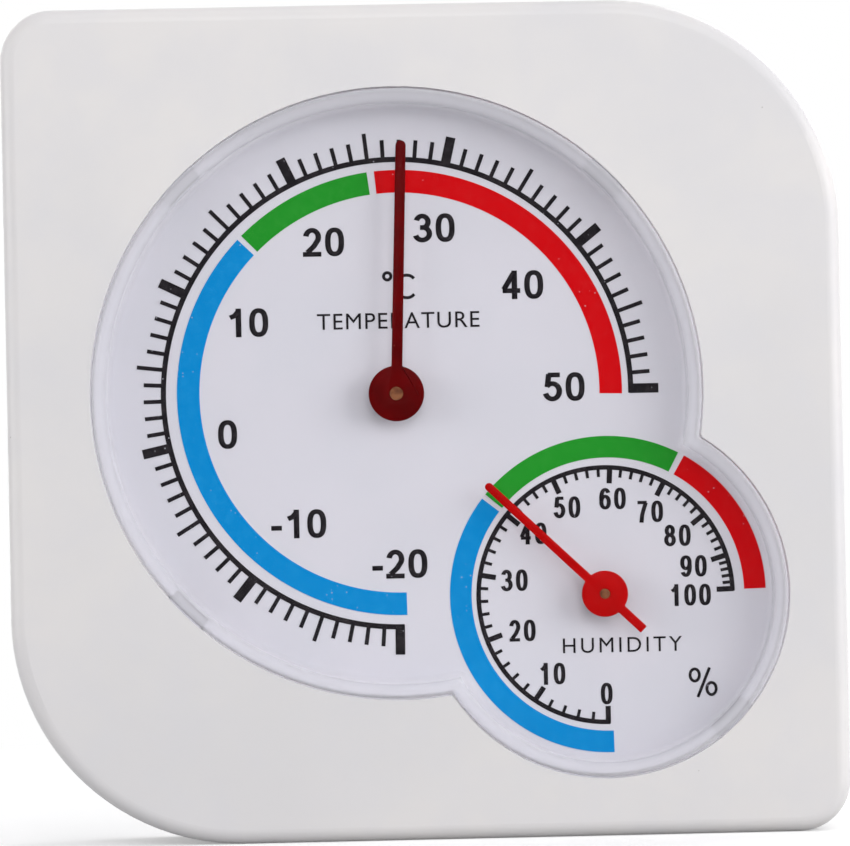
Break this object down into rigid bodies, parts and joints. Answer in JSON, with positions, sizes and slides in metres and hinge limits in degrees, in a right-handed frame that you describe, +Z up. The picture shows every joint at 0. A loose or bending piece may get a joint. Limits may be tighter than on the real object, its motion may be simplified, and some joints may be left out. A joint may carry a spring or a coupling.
{
  "type": "dial thermo-hygrometer",
  "caption": "Flat square room gauge with a bimetal thermometer dial, a smaller coil hygrometer dial, a snap-in clear window, a screwed rear cover with a keyhole and a fold-out stand.",
  "frame": {"origin": "middle of the footprint, on the surface the gauge stands on with its bottom edge down", "axes": "+Z up, dials face -Y, back face on +Y, +X to the right of the dial; +Y runs through the thickness"},
  "size_m": [0.075, 0.0154, 0.075],
  "materials": {
    "case_plastic": "satin moulded white plastic",
    "clear_plastic": "clear moulded plastic",
    "printed_dial": "white lacquer with printed scales in black, blue, green and red",
    "dark_red_paint": "dark red lacquer on thin sheet",
    "bright_red_paint": "bright red lacquer on thin sheet",
    "brass": "turned brass",
    "bimetal_strip": "rolled strip",
    "coated_strip": "thin metal strip with a moisture-taking coat",
    "plated_steel": "bright plated steel",
    "screw_steel": "dark plated steel"
  },
  "bodies": {
    "case": {"front_case": "case_plastic", "lens": "clear_plastic", "dial_plate": "printed_dial", "thermometer_coil": "bimetal_strip", "thermometer_coil_post": "plated_steel", "thermometer_front_bush": "brass", "thermometer_rear_bush": "brass", "thermometer_bridge": "plated_steel", "thermometer_bridge_screws": "screw_steel", "hygrometer_coil": "coated_strip", "hygrometer_coil_post": "plated_steel", "hygrometer_front_bush": "brass", "hygrometer_rear_bush": "brass", "hygrometer_bridge": "plated_steel", "hygrometer_bridge_screws": "screw_steel", "rear_cover": "case_plastic", "rear_cover_screws": "screw_steel", "stand_hinge_pin": "plated_steel"},
    "thermometer_movement": {"thermometer_pointer": "dark_red_paint", "thermometer_pointer_boss": "brass", "thermometer_arbor": "brass", "thermometer_collet": "brass"},
    "hygrometer_movement": {"hygrometer_pointer": "bright_red_paint", "hygrometer_pointer_boss": "brass", "hygrometer_arbor": "brass", "hygrometer_collet": "brass"},
    "stand": {"stand_leg": "case_plastic"}
  },
  "joints": [
    {"name": "thermometer_turn", "type": "hinge", "parent": "case", "child": "thermometer_movement", "pos_m": [-0.00255, 0, 0.04005], "axis": [0, 1, 0], "range_deg": [-181.3, 88.1], "stiffness_Nm_per_rad": 0.0002},
    {"name": "hygrometer_turn", "type": "hinge", "parent": "case", "child": "hygrometer_movement", "pos_m": [0.01585, 0, 0.02165], "axis": [0, 1, 0], "range_deg": [-133.2, 135.3], "stiffness_Nm_per_rad": 0.0002},
    {"name": "stand_fold", "type": "hinge", "parent": "case", "child": "stand", "pos_m": [0, 0.00535, 0.0265], "axis": [1, 0, 0], "range_deg": [0, 35]}
  ]
}
